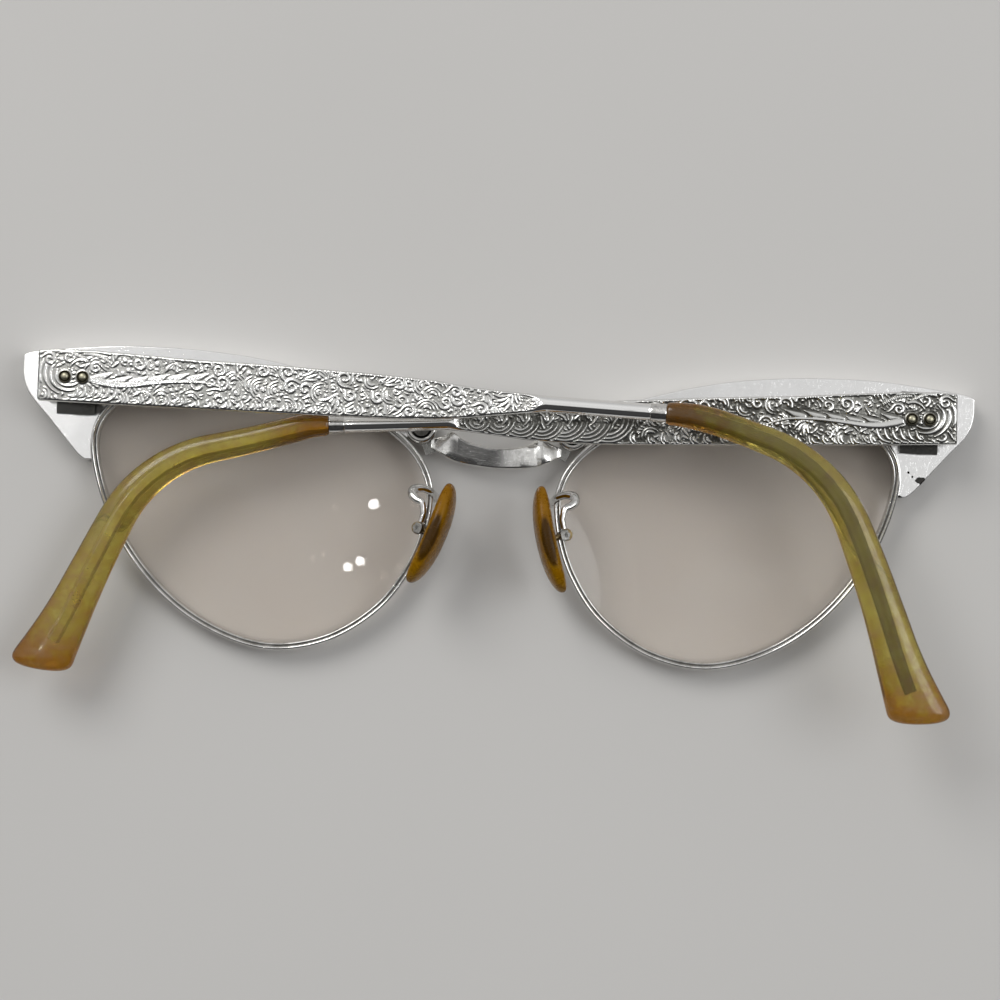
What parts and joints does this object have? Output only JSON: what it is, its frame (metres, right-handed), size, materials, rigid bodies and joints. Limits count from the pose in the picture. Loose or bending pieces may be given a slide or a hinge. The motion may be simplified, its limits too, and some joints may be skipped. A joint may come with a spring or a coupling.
{
  "type": "cat eye eyeglasses",
  "caption": "Cat eye eyeglasses with winged metal brow bars, wire rims, clear lenses, rocking nose pads and folding temples with moulded tips.",
  "frame": {"origin": "centre of the folded frame's footprint, on the plane that the brow bars' fronts lie on", "axes": "+X along the brow from the left temple's hinge to the right one's, as seen from behind; +Y from the lenses' lower edge up to the brow; +Z from the front towards the wearer"},
  "size_m": [0.137, 0.0497, 0.0193],
  "materials": {
    "brow_aluminium": "polished with light wear",
    "temple_aluminium": "engraved scroll work, bright on the high spots and dark in the cuts",
    "bright_metal": "bright polished",
    "steel_hardware": "dull machined",
    "rivet_metal": "tarnished dome",
    "lens_glass": "clear polished glass",
    "pad_amber": "translucent amber",
    "pad_core_metal": "dark insert seen through the pad",
    "tip_amber": "translucent amber, browner at both ends",
    "temple_core_metal": "wire core seen through the tip"
  },
  "bodies": {
    "front": {"bridge": "bright_metal", "left_lens": "lens_glass", "right_lens": "lens_glass", "left_eyewire": "bright_metal", "right_eyewire": "bright_metal", "left_rim_lock": "bright_metal", "right_rim_lock": "bright_metal", "left_rim_lock_screw": "steel_hardware", "right_rim_lock_screw": "steel_hardware", "left_brow_bar": "brow_aluminium", "right_brow_bar": "brow_aluminium", "left_brow_screw": "steel_hardware", "right_brow_screw": "steel_hardware", "left_bridge_lug": "steel_hardware", "right_bridge_lug": "steel_hardware", "left_pad_arm": "bright_metal", "right_pad_arm": "bright_metal", "left_pad_box": "bright_metal", "right_pad_box": "bright_metal", "left_pad_pin": "steel_hardware", "right_pad_pin": "steel_hardware", "left_front_hinge": "steel_hardware", "right_front_hinge": "steel_hardware", "left_front_hinge_rivets": "rivet_metal", "right_front_hinge_rivets": "rivet_metal", "left_hinge_screw": "steel_hardware", "right_hinge_screw": "steel_hardware"},
    "left_temple_arm": {"left_temple_hinge": "steel_hardware", "left_temple": "temple_aluminium", "left_temple_rivets": "rivet_metal", "left_temple_ferrule": "bright_metal", "left_temple_core": "temple_core_metal", "left_temple_tip": "tip_amber"},
    "right_temple_arm": {"right_temple_hinge": "steel_hardware", "right_temple": "temple_aluminium", "right_temple_rivets": "rivet_metal", "right_temple_ferrule": "bright_metal", "right_temple_core": "temple_core_metal", "right_temple_tip": "tip_amber"},
    "left_pad": {"left_pad_core": "pad_core_metal", "left_nose_pad": "pad_amber"},
    "right_pad": {"right_pad_core": "pad_core_metal", "right_nose_pad": "pad_amber"}
  },
  "joints": [
    {"name": "right_temple_fold", "type": "hinge", "parent": "front", "child": "right_temple_arm", "pos_m": [0.06415, 0.01981, 0.0058], "axis": [0, 0.9994, 0.0349], "range_deg": [0, 88]},
    {"name": "left_temple_fold", "type": "hinge", "parent": "front", "child": "left_temple_arm", "pos_m": [-0.06415, 0.02001, 0.0058], "axis": [0, -0.9994, 0.0349], "range_deg": [0, 91.6]},
    {"name": "left_pad_rock", "type": "hinge", "parent": "front", "child": "left_pad", "pos_m": [-0.0105, 0.00081, 0.0095], "axis": [-0.3311, 0.0856, 0.9397], "range_deg": [-8, 8]},
    {"name": "right_pad_rock", "type": "hinge", "parent": "front", "child": "right_pad", "pos_m": [0.0105, 0.00081, 0.0095], "axis": [0.1347, 0.0348, 0.9903], "range_deg": [-8, 8]}
  ],
  "couplings": [
    {"joint": "left_temple_fold", "follows": "right_temple_fold", "ratio": 1.04}
  ]
}
